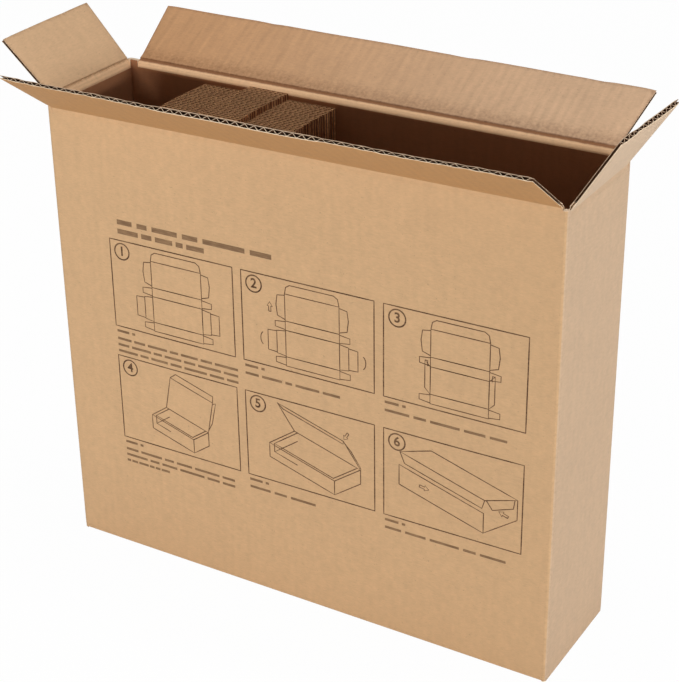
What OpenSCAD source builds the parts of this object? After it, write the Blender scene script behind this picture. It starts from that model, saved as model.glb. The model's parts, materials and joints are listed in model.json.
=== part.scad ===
// Open corrugated shipping carton that holds a stack of flat mailer box blanks.
// Millimetres. X runs along the carton, Y from front to back, Z up from the face it stands on.

/* [Carton] */
// Outside length of the carton
carton_l = 445; // [400:1:520]
// Outside width of the carton, front to back
carton_w = 110; // [90:1:160]
// Height of the fold of the front and back flaps
fold_h = 398; // [360:1:460]
// Thickness of the carton's board
board_t = 3.8; // [3.2:0.1:4.6]
// Outside radius of the carton's folded edges
edge_r = 3; // [1.5:0.1:4]
// Gap where the two long bottom flaps meet
seam_gap = 1; // [0.5:0.1:3]
// How far the bottom seam lies behind the middle
seam_off = 2.5; // [1.5:0.1:6]
// Width of the glued tab inside the front left corner
tab_w = 35; // [20:1:45]
// Thickness of the pressed tab
tab_t = 2.6; // [1.5:0.1:3.5]
// Distance of the tab's ends from the top fold and from the bottom
tab_end = 14; // [10:1:40]

/* [Flaps] */
// Length of every flap from its fold to its cut edge
flap_len = 62; // [50:1:64]
// Width of the slot between two flaps at a corner
slot_w = 9; // [8.6:0.1:14]
// Room between a flap's side and the corner beside it
corner_play = 0.4; // [0.2:0.1:1]
// Width of the band that is pressed thin along a fold
fold_band = 14; // [10:0.5:20]
// Gap along a fold between the wall's pressed edge and the flap's
fold_gap = 0.8; // [0.4:0.1:0.9]
// Room between a short flap and the long flaps that close over it
lap_gap = 0.3; // [0.2:0.1:1]
// Lean of the front flap out of the upright
front_lean = 57; // [0:1:140]
// Lean of the back flap out of the upright
back_lean = 61; // [0:1:140]
// Lean of the left flap out of the upright
left_lean = 43; // [0:1:140]
// Lean of the right flap out of the upright
right_lean = 34; // [0:1:140]

/* [Corrugation] */
// Distance from one flute to the next
flute_pitch = 7.8; // [6:0.1:9.5]
// Thickness of each flat liner
liner_t = 0.45; // [0.3:0.05:0.7]
// Half of the fluted sheet's width along the liner
flute_half = 0.4; // [0.3:0.05:0.7]

/* [Mailer blanks] */
// Thickness of a blank
blank_t = 3; // [2:0.1:4]
// Air between two blanks in the stack
blank_air = 0.25; // [0.1:0.05:0.6]
// Height of the mailer's walls
wall_h = 68; // [50:1:70]
// Length of the lid's tuck flap
tuck_h = 42; // [40:1:60]
// Room between a blank and the carton's ends
end_play = 3.7; // [3:0.1:8]
// How far the blanks in the stack wander along the carton
stack_wander = 0.8; // [0:0.1:2.6]
// Room between the stack and the carton's back wall
back_play = 0.3; // [0.2:0.1:1]
// Drop of the lock tab's top below the closed flaps
top_play = 0.6; // [0.5:0.1:6]
// Width of the lock tab on each roll-over panel
lock_w = 36; // [20:1:50]
// Height of the lock tab
lock_h = 5; // [3:0.1:8]
// Step in from the side wall to the roll-over panel
ear_inset = 1.5; // [1:0.1:6]
// Play of each cut between two panels
cut_play = 1.5; // [0.6:0.1:3]
// Length of the corner tabs on the front and back walls
corner_tab = 50; // [30:1:55]
// Length of the lid's dust flaps
dust_flap = 56; // [30:1:58]
// Taper at the free end of a tab or dust flap
tab_taper = 8; // [3:0.5:15]
// Radius of the round corners
blank_r = 12; // [5:0.5:20]
// Width of a crease
crease_w = 2; // [1:0.1:4]
// Depth of a crease
crease_d = 0.8; // [0.3:0.1:1.2]

/* [Hidden] */
$fn = 64;
KRAFT = [0.80, 0.66, 0.50];
KRAFT_DARK = [0.44, 0.31, 0.22];
overlap = 0.01;
half_band = fold_band / 2;
short_fold_h = fold_h - board_t - lap_gap;
slot_h = short_fold_h - half_band;
long_flap_w = carton_l - slot_w;
short_flap_w = carton_w - slot_w;
inner_l = carton_l - 2 * board_t;
inner_w = carton_w - 2 * board_t;

blank_l = inner_l - 2 * end_play;
panel_w = (blank_l - 2 * wall_h - tuck_h) / 2;
blank_top = fold_h - board_t / 2 - top_play;
blank_rise = blank_top - board_t;
roll_h = wall_h - cut_play;
half_len = blank_rise / 2 - wall_h - roll_h - lock_h;
blank_pitch = blank_t + blank_air;
blank_count = floor((inner_w - tab_t - 2 * back_play) / blank_pitch);

// Fold lines along a blank: front wall, bottom, back wall, lid, tuck flap
u_front = 0;
u_bottom = wall_h;
u_back = u_bottom + panel_w;
u_lid = u_back + wall_h;
u_tuck = u_lid + panel_w;

function two_digits(i) = str(i < 10 ? "0" : "", i);
function blank_name(i) = str("blank_", two_digits(i));
function wander(i) = stack_wander * sin(20 + 400 * i / blank_count);

FLAPS = ["front_flap", "back_flap", "left_flap", "right_flap"];

// Carton

module round_rect(l, w, r) {
    square([l - 2 * r, w], center = true);
    square([l, w - 2 * r], center = true);
    for (sx = [-1, 1], sy = [-1, 1])
        translate([sx * (l / 2 - r), sy * (w / 2 - r)])
            circle(r = r);
}

// Upright outline with its two lower corners round
module folded_foot(w, h, r) {
    translate([-w / 2, r])
        square([w, h - r]);
    translate([-w / 2 + r, 0])
        square([w - 2 * r, r + overlap]);
    for (s = [-1, 1])
        translate([s * (w / 2 - r), r])
            circle(r = r);
}

// Stands an outline up so that it runs along X
module along_x(l)
    rotate([90, 0, 90])
        linear_extrude(height = l, center = true)
            children();

// Stands an outline up so that it runs along Y
module along_y(l)
    rotate([90, 0, 0])
        linear_extrude(height = l, center = true)
            children();

// The four walls up to the pressed bands of the folds
module wall_ring() {
    intersection() {
        linear_extrude(height = slot_h)
            difference() {
                round_rect(carton_l, carton_w, edge_r);
                square([inner_l, inner_w], center = true);
            }
        translate([0, 0, board_t])
            along_y(2 * carton_w)
                folded_foot(carton_l, fold_h, edge_r);
    }
}

// Corners of the walls, which stand up between the flaps as far as the short folds
module corner_posts() {
    post = slot_w / 2 - corner_play;
    translate([0, 0, slot_h - overlap])
        linear_extrude(height = half_band + overlap)
            intersection() {
                round_rect(carton_l, carton_w, edge_r);
                for (sx = [-1, 1], sy = [-1, 1])
                    translate([sx * (carton_l - post) / 2, sy * (carton_w - post) / 2])
                        square(post, center = true);
            }
}

// Front and back walls with the long bottom flaps folded under
module long_walls() {
    along_x(long_flap_w)
        difference() {
            folded_foot(carton_w, fold_h - half_band, edge_r);
            translate([-inner_w / 2, board_t])
                square([inner_w, fold_h]);
            translate([seam_off - seam_gap / 2, -overlap])
                square([seam_gap, fold_h]);
        }
}

// Short bottom flaps, folded in on top of the long ones
module short_bottom_flaps()
    for (s = [-1, 1])
        translate([s * (carton_l - flap_len) / 2, 0, board_t * 3 / 2])
            cube([flap_len - edge_r, short_flap_w, board_t], center = true);

// One side of a fold's section: a wedge from the full board down to the fold line
module fold_section() {
    end_half = board_t / 2 * fold_gap / fold_band;
    polygon([
        [-board_t / 2, half_band],
        [board_t / 2, half_band],
        [end_half, fold_gap / 2],
        [-end_half, fold_gap / 2]
    ]);
}

// Pressed top edges of the walls
module wall_folds() {
    for (s = [-1, 1]) {
        translate([0, s * (carton_w - board_t) / 2, fold_h])
            mirror([0, 0, 1])
                along_x(long_flap_w)
                    fold_section();
        translate([s * (carton_l - board_t) / 2, 0, short_fold_h])
            mirror([0, 0, 1])
                along_y(short_flap_w)
                    fold_section();
    }
}

// Tab of the left wall, glued to the inside of the front wall
module glue_tab() {
    low = tab_end + 2 * board_t;
    high = slot_h - tab_end;
    translate([-inner_l / 2, -inner_w / 2 + tab_t, 0])
        rotate([90, 0, 0])
            linear_extrude(height = tab_t)
                polygon([[0, low], [tab_w, low + tab_end], [tab_w, high - tab_end], [0, high]]);
}

module carton_body()
    color(KRAFT) {
        wall_ring();
        corner_posts();
        long_walls();
        short_bottom_flaps();
        wall_folds();
        glue_tab();
    }

// Section of the board across its flutes: two liners with the fluted sheet between them
module board_section(w) {
    count = round(w / flute_pitch);
    pitch = w / count;
    half_gap = board_t / 2 - liner_t;
    rise = (pitch / 2 - flute_half) * 4 * half_gap / pitch;
    half_base = pitch / 2 - flute_half;
    difference() {
        square([w, board_t], center = true);
        for (i = [0:count - 1])
            translate([(i + 0.5) * pitch - w / 2, -half_gap])
                polygon([[-half_base, 0], [half_base, 0], [0, rise]]);
        for (i = [0:count])
            translate([i * pitch - w / 2, half_gap])
                polygon([[-half_base, 0], [0, -rise], [half_base, 0]]);
    }
}

// A flap that stands upright on its fold line, with its flutes open at the cut edge
module flap(w) {
    along_x(w)
        fold_section();
    translate([0, 0, half_band])
        linear_extrude(height = flap_len - half_band)
            board_section(w);
}

// Puts a flap on its wall: to_wall is the fold's distance from the middle
module placed_flap(w, turn, to_wall, h, lean)
    color(KRAFT)
        rotate([0, 0, turn])
            translate([0, -to_wall, h])
                rotate([lean, 0, 0])
                    flap(w);

module front_flap()
    placed_flap(long_flap_w, 0, (carton_w - board_t) / 2, fold_h, front_lean);

module back_flap()
    placed_flap(long_flap_w, 180, (carton_w - board_t) / 2, fold_h, back_lean);

module left_flap()
    placed_flap(short_flap_w, -90, (carton_l - board_t) / 2, short_fold_h, left_lean);

module right_flap()
    placed_flap(short_flap_w, 90, (carton_l - board_t) / 2, short_fold_h, right_lean);

// Mailer blanks

// A panel that grows from a fold line and narrows towards its free end
module tapered_panel(u, w, rise)
    translate([u, half_len])
        polygon([[0, 0], [w, 0], [w, rise - tab_taper], [w - tab_taper, rise], [tab_taper, rise],
                 [0, rise - tab_taper]]);

// Dust flap of the lid, round at the corner next to the tuck flap
module dust_panel() {
    w = panel_w - 2 * cut_play;
    translate([u_lid + cut_play, half_len]) {
        square([w, dust_flap - blank_r]);
        translate([tab_taper, 0])
            square([w - tab_taper - blank_r, dust_flap]);
        translate([w - blank_r, dust_flap - blank_r])
            circle(r = blank_r);
        translate([0, dust_flap - blank_r])
            polygon([[0, 0], [tab_taper, 0], [tab_taper, blank_r]]);
    }
}

// Side wall, roll-over panel and lock tab above the bottom panel
module side_panels() {
    translate([u_bottom, half_len - overlap])
        square([panel_w, wall_h + overlap]);
    translate([u_bottom + ear_inset, half_len])
        square([panel_w - 2 * ear_inset, wall_h + roll_h]);
    translate([u_bottom + (panel_w - lock_w) / 2, half_len])
        square([lock_w, wall_h + roll_h + lock_h]);
}

// Everything that lies above the middle of a blank
module upper_outline() {
    tapered_panel(u_front + cut_play, wall_h - 2 * cut_play, corner_tab);
    tapered_panel(u_back + cut_play, wall_h - 2 * cut_play, corner_tab);
    side_panels();
    dust_panel();
}

// Slot that takes the lock tab when the roll-over panel comes down
module lock_slot()
    translate([u_bottom + (panel_w - lock_w) / 2 - cut_play, half_len - blank_t - crease_w])
        square([lock_w + 2 * cut_play, blank_t]);

module blank_outline()
    difference() {
        union() {
            translate([0, -half_len])
                square([blank_l - blank_r, 2 * half_len]);
            translate([0, -half_len + blank_r])
                square([blank_l, 2 * (half_len - blank_r)]);
            for (s = [-1, 1])
                translate([blank_l - blank_r, s * (half_len - blank_r)])
                    circle(r = blank_r);
            upper_outline();
            mirror([0, 1])
                upper_outline();
        }
        lock_slot();
        mirror([0, 1])
            lock_slot();
    }

// Creases as pressed grooves: across at each fold line, along beside every panel
module creases() {
    for (u = [u_bottom, u_back, u_lid, u_tuck])
        translate([u - crease_w / 2, -half_len])
            square([crease_w, 2 * half_len]);
    for (s = [-1, 1]) {
        translate([u_front + cut_play, s * half_len - crease_w / 2])
            square([u_tuck - 2 * cut_play, crease_w]);
        translate([u_bottom + ear_inset, s * (half_len + wall_h) - crease_w / 2])
            square([panel_w - 2 * ear_inset, crease_w]);
    }
}

// One blank of the stack, standing on its lower lock tab
module blank(i)
    color(KRAFT_DARK)
        translate([
            -blank_l / 2 + wander(i),
            inner_w / 2 - back_play - (blank_count - i) * blank_pitch,
            board_t + blank_rise / 2
        ])
            rotate([90, 0, 0])
                difference() {
                    linear_extrude(height = blank_t)
                        blank_outline();
                    translate([0, 0, blank_t - crease_d])
                        linear_extrude(height = blank_t)
                            creases();
                }

carton_body();
front_flap();
back_flap();
left_flap();
right_flap();
for (i = [1:blank_count])
    blank(i);
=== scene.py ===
# %% [markdown]
# # An open shipping carton with a stack of flat mailer blanks
#
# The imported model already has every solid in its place. This lesson dresses it: fluted
# board on the flaps, soft bends at the folds, brown kraft paper with its fibres and
# scuffs, a folding guide printed on the front, and thirty fluted blanks inside. Sizes
# come from the frame or from a few named values, so a change there carries over.

# %% Load the frame
import json
import math

import bmesh
import bpy
import numpy as np
from mathutils import Matrix, Vector
from mathutils.geometry import tessellate_polygon


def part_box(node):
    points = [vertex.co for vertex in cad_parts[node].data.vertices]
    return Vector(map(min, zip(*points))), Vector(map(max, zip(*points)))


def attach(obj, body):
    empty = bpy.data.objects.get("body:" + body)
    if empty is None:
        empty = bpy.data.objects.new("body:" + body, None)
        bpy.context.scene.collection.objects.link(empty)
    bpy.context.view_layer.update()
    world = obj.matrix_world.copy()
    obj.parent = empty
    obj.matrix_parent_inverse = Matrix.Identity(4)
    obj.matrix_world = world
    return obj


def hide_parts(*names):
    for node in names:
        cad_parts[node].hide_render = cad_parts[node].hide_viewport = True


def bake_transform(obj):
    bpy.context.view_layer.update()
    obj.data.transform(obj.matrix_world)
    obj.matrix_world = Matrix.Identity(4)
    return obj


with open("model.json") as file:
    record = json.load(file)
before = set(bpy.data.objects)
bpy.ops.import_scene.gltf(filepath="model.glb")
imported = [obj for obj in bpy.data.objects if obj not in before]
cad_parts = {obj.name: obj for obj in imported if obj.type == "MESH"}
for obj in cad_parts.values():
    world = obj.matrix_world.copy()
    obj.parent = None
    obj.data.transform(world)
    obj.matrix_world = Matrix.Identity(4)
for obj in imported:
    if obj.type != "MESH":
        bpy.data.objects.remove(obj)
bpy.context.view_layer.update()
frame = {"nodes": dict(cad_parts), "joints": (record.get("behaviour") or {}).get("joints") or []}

# %% Sizes read from the frame
MM = 0.001
hinges = {joint["child"]: joint for joint in frame["joints"]}
body_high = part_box("carton_body")[1]
half_l, half_w = body_high.x, body_high.y
fold_h = hinges["front_flap"]["pos_m"][2]
short_fold_h = hinges["left_flap"]["pos_m"][2]
board_t = 2 * (half_w - hinges["back_flap"]["pos_m"][1])
FOLD_BAND = 7 * MM
slot_h = short_fold_h - FOLD_BAND
long_half, short_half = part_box("front_flap")[1].x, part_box("left_flap")[1].y
print(f"carton {2 * half_l:.3f} x {2 * half_w:.3f} m, folds at {fold_h:.4f} and "
      f"{short_fold_h:.4f} m, board {board_t / MM:.1f} mm")

# %% [markdown]
# ## Wiring nodes with plain sums
#
# A finish is a small network of nodes. Adding each one by hand hides the idea behind
# it, so a wrapper lets a socket stand in a sum: `1 - mask` adds its own Math node. One
# function adds any other kind of node.


# %% A wire that takes part in sums
class Wire:
    """A node's output; arithmetic on it adds Math nodes to the same tree."""

    def __init__(self, socket):
        self.socket = socket
        self.tree = socket.id_data

    def sum(self, operation, left, right):
        return node(self.tree, "ShaderNodeMath", {"operation": operation}, {0: left, 1: right})

    def __add__(self, other):
        return self.sum("ADD", self, other)

    def __radd__(self, other):
        return self.sum("ADD", other, self)

    def __sub__(self, other):
        return self.sum("SUBTRACT", self, other)

    def __rsub__(self, other):
        return self.sum("SUBTRACT", other, self)

    def __mul__(self, other):
        return self.sum("MULTIPLY", self, other)

    def __rmul__(self, other):
        return self.sum("MULTIPLY", other, self)

    def __truediv__(self, other):
        return self.sum("DIVIDE", self, other)


def node(tree, kind, settings=None, sockets=None, out=0):
    """Adds one node, sets its settings, fills or links its sockets, gives one output."""
    made = tree.nodes.new(kind)
    for name, value in (settings or {}).items():
        setattr(made, name, value)
    for key, value in (sockets or {}).items():
        if isinstance(value, Wire):
            tree.links.new(value.socket, made.inputs[key])
        else:
            made.inputs[key].default_value = value
    return Wire(made.outputs[out])


# %% Small shader helpers
def colour(red, green, blue):
    """A colour as it looks on screen, 0 to 255, as the linear values that Blender takes."""
    def linear(level):
        level /= 255
        return level / 12.92 if level <= 0.04045 else ((level + 0.055) / 1.055) ** 2.4
    return (linear(red), linear(green), linear(blue), 1.0)


def shade(tone, gain):
    """The same colour, lighter or darker."""
    return tuple(min(1.0, channel * gain) for channel in tone[:3]) + (1.0,)


def scored(tone):
    """The colour painted for shade in a pressed score line: dark, and redder than a plain shadow."""
    return tuple(channel * gain for channel, gain in zip(tone, (0.2, 0.09, 0.02))) + (1.0,)


def mix_colour(factor, first, second):
    return node(factor.tree, "ShaderNodeMix", {"data_type": "RGBA"},
                {0: factor, 6: first, 7: second}, out=2)


def noise(place, scale, stretch=(1, 1, 1), detail=3.0):
    drawn = node(place.tree, "ShaderNodeMapping", {}, {"Vector": place, "Scale": stretch})
    return node(place.tree, "ShaderNodeTexNoise", {},
                {"Vector": drawn, "Scale": scale, "Detail": detail}, out="Fac")


def ramp(value, low, high):
    """0 at low, 1 at high, smooth between."""
    return node(value.tree, "ShaderNodeMapRange", {"interpolation_type": "SMOOTHSTEP"},
                {"Value": value, "From Min": low, "From Max": high})


def axis(place, name):
    return node(place.tree, "ShaderNodeSeparateXYZ", {}, {"Vector": place}, out=name)


def new_finish(name):
    """A new finish, its shader, and a wire of the object's own coordinates."""
    finish = bpy.data.materials.new(name)
    finish.use_nodes = True
    tree = finish.node_tree
    return finish, tree.nodes["Principled BSDF"], node(tree, "ShaderNodeTexCoord", out="Object")


# %% [markdown]
# ## Kraft paper
#
# Corrugated board is faced with kraft paper: cloudy where the pulp settled unevenly,
# streaked with fibres along the web, flecked with bark, and faintly ribbed where the
# flutes press through. A picture of paper would fix one size and place, so each of these
# is a noise of its own scale here. A point attribute that the mesh code fills in carries
# real wear and painted light together: above zero the paper is rubbed pale along cut
# edges and painted with a highlight on the fold bands; below zero it takes painted
# shade in the score line, near the fold and on the rounded corners, and darkens along
# the inner paper's edges.

# %% Kraft finish
FLUTE_PITCH = 7.8 * MM
PAPER_GLOSS = 0.3


def kraft(name, paper, across="X", pitch=FLUTE_PITCH, rib=0.35, streak=0.35, wrinkle_shade=0.0,
          speckle=0.0, fade=None):
    """Kraft paper over flutes that repeat along the axis named by across.

    Speckle adds light and dark spots a few millimetres wide, painted glints and shade of a
    cut edge's open flutes. Fade is the colour that the paper turns to towards the carton's
    right end, painted light for light that falls unevenly along it. Wrinkle paints shade
    along thin ridges."""
    finish, shader, place = new_finish(name)
    tree = finish.node_tree
    along_web = (0.25, 1, 1) if across == "X" else (1, 0.25, 1)
    along_flute = (1, 0.12, 0.12) if across == "X" else (0.12, 1, 0.12)
    cloud = noise(place, 150, detail=4.0)
    patch = noise(place, 8, detail=2.0)
    fibre = noise(place, 1000, along_web, detail=2.0)
    grain = noise(place, 3200, detail=1.0)
    flute = noise(place, 230, along_flute, detail=3.0)
    wave = node(tree, "ShaderNodeMath", {"operation": "SINE"},
                {0: axis(place, across) * (2 * math.pi / pitch)})
    tone = (0.5 + 0.5 * (cloud - 0.5) + 0.2 * (patch - 0.5) + 0.6 * (fibre - 0.5)
            + 0.4 * (grain - 0.5) + streak * (flute - 0.5) + 0.1 * rib * wave)
    # Speckle: painted glints and shade, light and dark spots at the scale of open flutes.
    if speckle:
        tone = tone + speckle * (noise(place, 480, detail=2.0) - 0.5)
    spread = 0.20 + 0.25 * speckle
    base = mix_colour(tone, shade(paper, 1 - spread), shade(paper, 1 + spread))
    # Fade: painted light, a shift of colour along the carton where light falls unevenly.
    if fade:
        right = mix_colour(tone, shade(fade, 1 - spread), shade(fade, 1 + spread))
        base = mix_colour(ramp(axis(place, "X"), -half_l, half_l), base, right)
    # Wrinkles: painted shade along thin ridges.
    if wrinkle_shade:
        ridge = ramp(noise(place, 190, along_flute, detail=4.0), 0.60, 0.74)
        base = mix_colour(wrinkle_shade * ridge, base, shade(paper, 0.5))
    fleck = ramp(noise(place, 620, detail=2.0), 0.69, 0.75)
    base = mix_colour(0.4 * fleck, base, shade(paper, 0.42))
    # The point attribute read here holds real wear and painted light: above zero, rubbed pale edges and
    # a painted highlight on the fold bands; below zero, painted shade in the score line, near the fold
    # and on the rounded corners, and darker inner edges.
    wear_and_shade = node(tree, "ShaderNodeAttribute", {"attribute_name": "wear_and_shade"}, out="Fac")
    pale_wear_and_highlight = ramp(wear_and_shade + 0.7 * (noise(place, 330, detail=3.0) - 0.5), 0.25, 1.05)
    base = mix_colour(0.8 * pale_wear_and_highlight, base, shade(paper, 1.3))
    # Below zero: painted shade, the dark red colour of shade in a pressed crease.
    pressed = ramp(0 - wear_and_shade + 0.4 * (noise(place, 420, detail=2.0) - 0.5), 0.2, 0.9)
    base = mix_colour(0.85 * pressed, base, scored(paper))
    tree.links.new(base.socket, shader.inputs["Base Color"])
    tree.links.new((0.66 + 0.25 * cloud).socket, shader.inputs["Roughness"])
    relief = (rib * (0.5 + 0.5 * wave) + 0.4 * fibre + 0.3 * grain + 0.4 * cloud
              + 1.5 * streak * flute)
    bump = node(tree, "ShaderNodeBump", {},
                {"Strength": 0.4, "Distance": 0.15 * MM, "Height": relief})
    tree.links.new(bump.socket, shader.inputs["Normal"])
    shader.inputs["Specular IOR Level"].default_value = PAPER_GLOSS
    return finish


# %% Papers
CARTON_PAPER = colour(206, 168, 126)
# End walls: greyer and paler than the long sides, a painted sheen of the light falling on the carton's
# ends.
END_PAPER_SHEEN = colour(206, 176, 145)
# Inner fold bands: a paler paper, painted highlight where the band's rounded face meets the light.
FOLD_BAND_HIGHLIGHT = colour(230, 188, 146)
# Long walls: a little lighter towards the left end and fading to CARTON_PAPER at the right, painted
# light where more comes up from the floor.
carton_long = kraft("carton_kraft_long_side", colour(213, 174, 131), "X", rib=0.12, streak=0.2,
                    fade=CARTON_PAPER)
carton_end_sheen = kraft("carton_kraft_end_outside_painted_sheen", END_PAPER_SHEEN, "Y", rib=0.12, streak=0.2)
# End flaps' outsides: the same painted sheen, greyer and paler.
end_flap_paper_sheen = kraft("short_flap_kraft_outside_painted_sheen", colour(207, 181, 153), "Y", rib=0.12, streak=0.2)
# Back flap inside: darker at the left end and paler to the right, painted light that reaches its right
# end more; its wrinkles are painted shade.
back_flap_paper = kraft("back_flap_kraft_inside", colour(194, 148, 106), "X", rib=0.45, streak=0.7,
                        wrinkle_shade=0.12, fade=colour(208, 172, 138))
# Front flap outside: darker and redder, painted shade of its downward-facing side.
front_flap_paper_shaded = kraft("front_flap_kraft_outside_painted_shade", colour(191, 145, 96), "X", streak=0.2)
short_flap_paper = kraft("short_flap_kraft_inside", colour(211, 174, 135), "Y", rib=0.1, streak=0.2)
# Inside walls, bottom flaps and tab: darker and redder than the flaps' insides, painted shade of the
# deep inside.
inside_paper_shaded = kraft("carton_kraft_inside_painted_shade", colour(166, 113, 77), "X")
# The fold bands' paler papers: painted highlight.
fold_band_highlight_long = kraft("carton_fold_band_painted_highlight_long", FOLD_BAND_HIGHLIGHT, "X", rib=0.15)
fold_band_highlight_short = kraft("carton_fold_band_painted_highlight_short", FOLD_BAND_HIGHLIGHT, "Y", rib=0.15)
cut_edge = kraft("carton_cut_edge", colour(232, 206, 176), "X", rib=0.0)
medium = kraft("carton_fluted_medium", colour(112, 76, 50), "X", rib=0.0)
print("kraft finishes:", len(bpy.data.materials))

# %% [markdown]
# ## Mesh helpers
#
# Nearly every piece here is a row of like sections: the wall ring runs round the plan,
# a fold or a flap runs along its crease. One loft joins neighbouring sections with
# quads, and one function turns such parts into a finished object.


# %% Lofts and pieces
def loft(sections, ring=False):
    """Quads between sections, each a closed loop; ends are capped unless they meet."""
    grid = np.asarray(sections, float)
    rows, size = grid.shape[:2]
    faces = [(i * size + k, (i + 1) % rows * size + k,
              (i + 1) % rows * size + (k + 1) % size, i * size + (k + 1) % size)
             for i in range(rows if ring else rows - 1) for k in range(size)]
    if not ring:
        faces += [tuple(range(size))[::-1], tuple(range((rows - 1) * size, rows * size))]
    return grid.reshape(-1, 3), faces


def mesh_part(mesh):
    """The points and faces of a mesh, which is then no longer needed."""
    points = np.array([vertex.co for vertex in mesh.vertices], float)
    faces = [tuple(face.vertices) for face in mesh.polygons]
    bpy.data.meshes.remove(mesh)
    return points, faces


def add_object(name, data):
    """A new object in the scene."""
    made = bpy.data.objects.new(name, data)
    bpy.context.scene.collection.objects.link(made)
    return made


def make_piece(name, parts, finishes, sharp_deg=35):
    """One object from (points, faces, finish of each face, wear and painted light of each point) parts.
    """
    points, faces, numbers, wear_and_shade = [], [], [], []
    for part_points, part_faces, part_finish, part_wear_and_shade in parts:
        base = len(points)
        points += [tuple(point) for point in part_points]
        faces += [tuple(base + i for i in face) for face in part_faces]
        numbers += list(np.broadcast_to(part_finish, len(part_faces)))
        wear_and_shade += list(np.broadcast_to(part_wear_and_shade, len(part_points)))
    mesh = bpy.data.meshes.new(name)
    mesh.from_pydata(points, [], faces)
    for finish in finishes:
        mesh.materials.append(finish)
    mesh.polygons.foreach_set("material_index", np.array(numbers, np.int32))
    turned = bmesh.new()
    turned.from_mesh(mesh)
    bmesh.ops.recalc_face_normals(turned, faces=turned.faces)
    turned.to_mesh(mesh)
    turned.free()
    mesh.attributes.new("wear_and_shade", "FLOAT", "POINT").data.foreach_set(
        "value", np.array(wear_and_shade, np.float32))
    mesh.shade_smooth()
    mesh.set_sharp_from_angle(angle=math.radians(sharp_deg))
    return add_object(name, mesh)


def hump(value, middle, width):
    """A smooth bell of height 1."""
    return np.exp(-((np.asarray(value, float) - middle) / width) ** 2)


# %% [markdown]
# ## The carton's walls
#
# The four walls are one blank of board, folded at the corners and glued with a tab. A
# box with a bevel would look like wood, so the ring is lofted: outer and inner face at
# each step round the plan, rounded at the corners and swelling a little where the
# contents press. The ring ends at the corner slots, and the folds go on from there.

# %% Plan of the wall ring
CORNER_R, CORNER_PLAY = 3 * MM, 0.05 * MM
INNER_R, SLANT = 0.8 * MM, 6 * MM
FRONT_POST, BACK_POST = fold_h - 5 * MM, fold_h + 1.5 * MM
WALL_STEP = 18 * MM
LONG_SWELL, SHORT_SWELL, RIPPLE = 1.0 * MM, 0.5 * MM, 0.22 * MM
# Half of each fold's length, by the way that its wall faces
fold_half = {(0, -1): long_half, (1, 0): short_half, (0, 1): long_half - SLANT, (-1, 0): short_half}


def stations(half, slot=None):
    """Places along a wall, closer together near its ends and on both sides of a slot."""
    close = [half - d * MM for d in (0, 4, 9)] if slot is None else [
        half, slot + CORNER_PLAY, slot + CORNER_PLAY - 0.05 * MM, slot - 3 * MM, slot - 9 * MM]
    inner = close[-1]
    count = max(3, round(2 * inner / WALL_STEP))
    return sorted(set([-c for c in close] + list(np.linspace(-inner, inner, count)) + close))


def swell(place, height, half, rise):
    """How far a wall bulges outwards at a place along it."""
    belly = rise * (1 - (place / half) ** 2)
    ripple = RIPPLE * np.sin(place * 23 + 0.8) * np.cos(height * 17)
    rise_share = np.sin(np.pi * np.minimum(height, slot_h) / slot_h)
    return (belly + ripple * (1 - (place / half) ** 8)) * rise_share


def post_top(spot):
    """The height of the corner beside a spot; the back corners stand a little higher."""
    return FRONT_POST if spot[1] < 0 else BACK_POST


def wall_plan():
    """(outer, inner, outward normal, place, half, rise, top) round the plan."""
    steps, corner_turn = [], np.radians(np.linspace(0, 90, 7))[1:-1]
    walls = [((0, -1), half_l, half_w, LONG_SWELL), ((1, 0), half_w, half_l, SHORT_SWELL),
             ((0, 1), half_l, half_w, LONG_SWELL), ((-1, 0), half_w, half_l, SHORT_SWELL)]
    for (nx, ny), half, depth, rise in walls:
        normal, along = np.array([nx, ny]), np.array([-ny, nx])
        straight, slot = half - CORNER_R, fold_half[nx, ny]
        for place in stations(straight, slot):
            outer = normal * depth + along * place
            post = abs(place) > slot + CORNER_PLAY - 0.01 * MM
            inner = np.clip(place, board_t + INNER_R - half, half - board_t - INNER_R)
            steps.append((outer, normal * (depth - board_t) + along * inner, normal, place,
                          straight, rise, post_top(outer) if post else slot_h))
        hub = normal * (depth - CORNER_R) + along * straight
        inner_hub = (normal * (depth - board_t - INNER_R)
                     + along * (half - board_t - INNER_R))
        for turn in corner_turn:
            way = normal * np.cos(turn) + along * np.sin(turn)
            steps.append((hub + CORNER_R * way, inner_hub + INNER_R * way, way,
                          straight, straight, 0.0, post_top(hub)))
    return steps


# %% Wall ring, bottom flaps and glue tab
SEAM_GAP, SEAM_OFF = 1 * MM, 2.5 * MM
TAB_W, TAB_T, TAB_END = 35 * MM, 2.6 * MM, 14 * MM
SHORT_FLAP_LEN = 62 * MM
END_FOOT, END_FOOT_R, LONG_FOOT_R = 0.2 * MM, 1.2 * MM, 0.15 * MM


def wall_section(outer, inner, normal, place, half, rise, top):
    """One upright slice of the wall: up the outer face and down the inner one."""
    at_end = abs(outer[0]) > half_l - CORNER_R - 0.01 * MM
    foot, foot_r = (END_FOOT, END_FOOT_R) if at_end else (board_t, LONG_FOOT_R)
    points = []
    for turn in np.radians((0, 30, 60)):
        edge = outer - normal * foot_r * (1 - np.sin(turn))
        points.append((*edge, foot + foot_r * (1 - np.cos(turn))))
    heights = [*np.linspace(board_t + CORNER_R, slot_h, 26)[:-1], top]
    for face, levels in ((outer, heights), (inner, [*heights[::-1], foot])):
        for level in levels:
            shift = normal * swell(place, level, half, rise) * (rise > 0)
            points.append((*(face + shift), level))
    return points


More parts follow.
